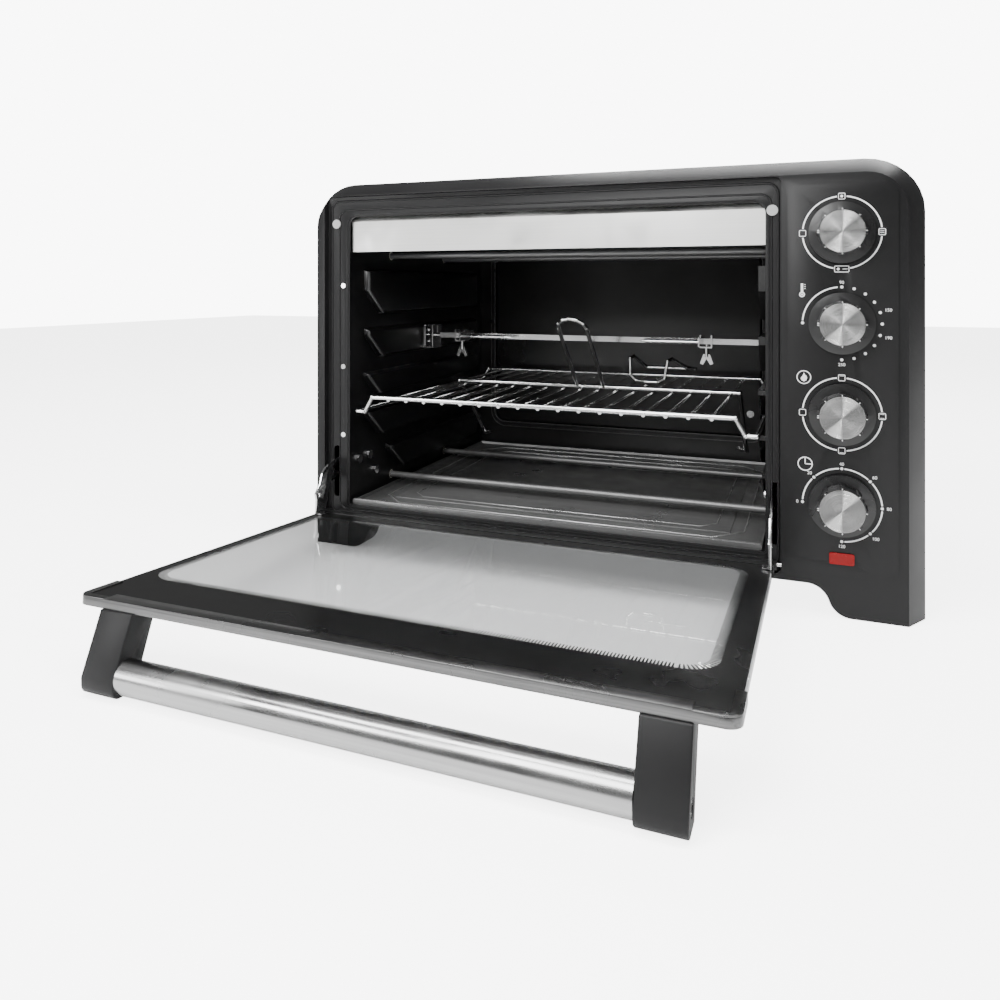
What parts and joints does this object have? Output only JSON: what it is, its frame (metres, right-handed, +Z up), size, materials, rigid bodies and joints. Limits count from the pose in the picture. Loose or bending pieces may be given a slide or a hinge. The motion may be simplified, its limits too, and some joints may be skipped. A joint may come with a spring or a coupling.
{
  "type": "rotisserie oven",
  "caption": "Countertop rotisserie oven with a drop-down glass door, sliding wire rack, turning spit, crumb tray and four control knobs.",
  "frame": {"origin": "bottom centre of the bounding box with the door open; the base plane is the table the four feet stand on", "axes": "+X to the user's right facing the oven, +Y from the door to the back, +Z up"},
  "size_m": [0.575, 0.7484, 0.376],
  "materials": {
    "black_frame": "satin black",
    "black_cover": "matt black powder coat",
    "black_liner": "satin black enamel",
    "zinc_plate": "galvanised, dull",
    "reflector": "satin",
    "heater_tube": "oxidised heater sheath",
    "ceramic": "ceramic",
    "bright_steel": "bright plated steel",
    "brushed_steel": "brushed",
    "black_plastic": "satin moulded black",
    "grey_plastic": "satin",
    "red_lens": "clear red",
    "rubber": "matt",
    "tinted_glass": "clear toughened glass with a black printed border"
  },
  "bodies": {
    "oven": {"front_frame": "black_frame", "outer_cover": "black_cover", "back_cover": "black_cover", "bottom_plate": "zinc_plate", "cavity_left_wall": "black_liner", "wall_flange": "black_liner", "cavity_right_wall": "black_liner", "cavity_ceiling": "black_liner", "cavity_back": "black_liner", "cavity_floor": "black_liner", "reflector": "reflector", "upper_heaters": "heater_tube", "lower_heaters": "heater_tube", "heater_insulators": "ceramic", "spit_bracket": "zinc_plate", "spit_motor": "zinc_plate", "fan_housing": "zinc_plate", "fan_motor": "zinc_plate", "mode_switch": "grey_plastic", "thermostat": "grey_plastic", "selector_switch": "grey_plastic", "timer": "grey_plastic", "lamp_lens": "red_lens", "lamp_housing": "grey_plastic", "hinge_brackets": "zinc_plate", "rear_feet": "rubber", "door_bumpers": "rubber", "cavity_screws": "bright_steel", "wall_bolts": "bright_steel", "cover_screws": "bright_steel", "cord_inlet": "black_plastic", "terminal_block": "ceramic"},
    "door": {"door_glass": "tinted_glass", "door_trim": "brushed_steel", "door_corner_clips": "bright_steel", "door_rail": "black_plastic", "hinge_plate_left": "bright_steel", "hinge_plate_right": "bright_steel", "hinge_pins": "bright_steel", "handle_post_left": "black_plastic", "handle_post_right": "black_plastic", "handle_bar": "brushed_steel", "handle_screws": "bright_steel"},
    "rack": {"wire_rack": "bright_steel", "spit_lifter": "bright_steel", "tray_handle": "bright_steel"},
    "tray": {"crumb_tray": "brushed_steel"},
    "spit": {"spit_rod": "bright_steel", "spit_socket": "bright_steel", "spit_forks": "bright_steel", "thumb_screws": "bright_steel"},
    "fan": {"fan_blade": "reflector"},
    "mode_knob": {"knob_mode": "black_plastic", "knob_mode_cap": "brushed_steel"},
    "heat_knob": {"knob_heat": "black_plastic", "knob_heat_cap": "brushed_steel"},
    "select_knob": {"knob_select": "black_plastic", "knob_select_cap": "brushed_steel"},
    "time_knob": {"knob_time": "black_plastic", "knob_time_cap": "brushed_steel"}
  },
  "joints": [
    {"name": "door_hinge", "type": "hinge", "parent": "oven", "child": "door", "pos_m": [0, -0.03278, 0.036], "axis": [1, 0, 0], "range_deg": [-86.6, 0]},
    {"name": "rack_slide", "type": "slide", "parent": "oven", "child": "rack", "axis": [0, -1, 0], "range_m": [0, 0.2]},
    {"name": "tray_slide", "type": "slide", "parent": "oven", "child": "tray", "axis": [0, -1, 0], "range_m": [0, 0.075]},
    {"name": "spit_turn", "type": "hinge", "parent": "oven", "child": "spit", "pos_m": [0, 0.15622, 0.21], "axis": [1, 0, 0], "continuous": true},
    {"name": "fan_turn", "type": "hinge", "parent": "oven", "child": "fan", "pos_m": [0.182, 0.26422, 0.23212], "axis": [1, 0, 0], "continuous": true},
    {"name": "mode_turn", "type": "hinge", "parent": "oven", "child": "mode_knob", "pos_m": [0.225, -0.03578, 0.3134], "axis": [0, 1, 0], "range_deg": [0, 270]},
    {"name": "heat_turn", "type": "hinge", "parent": "oven", "child": "heat_knob", "pos_m": [0.225, -0.03578, 0.23959], "axis": [0, 1, 0], "range_deg": [0, 270]},
    {"name": "select_turn", "type": "hinge", "parent": "oven", "child": "select_knob", "pos_m": [0.225, -0.03578, 0.16578], "axis": [0, 1, 0], "range_deg": [0, 270]},
    {"name": "time_turn", "type": "hinge", "parent": "oven", "child": "time_knob", "pos_m": [0.225, -0.03578, 0.09197], "axis": [0, 1, 0], "range_deg": [0, 270]}
  ]
}
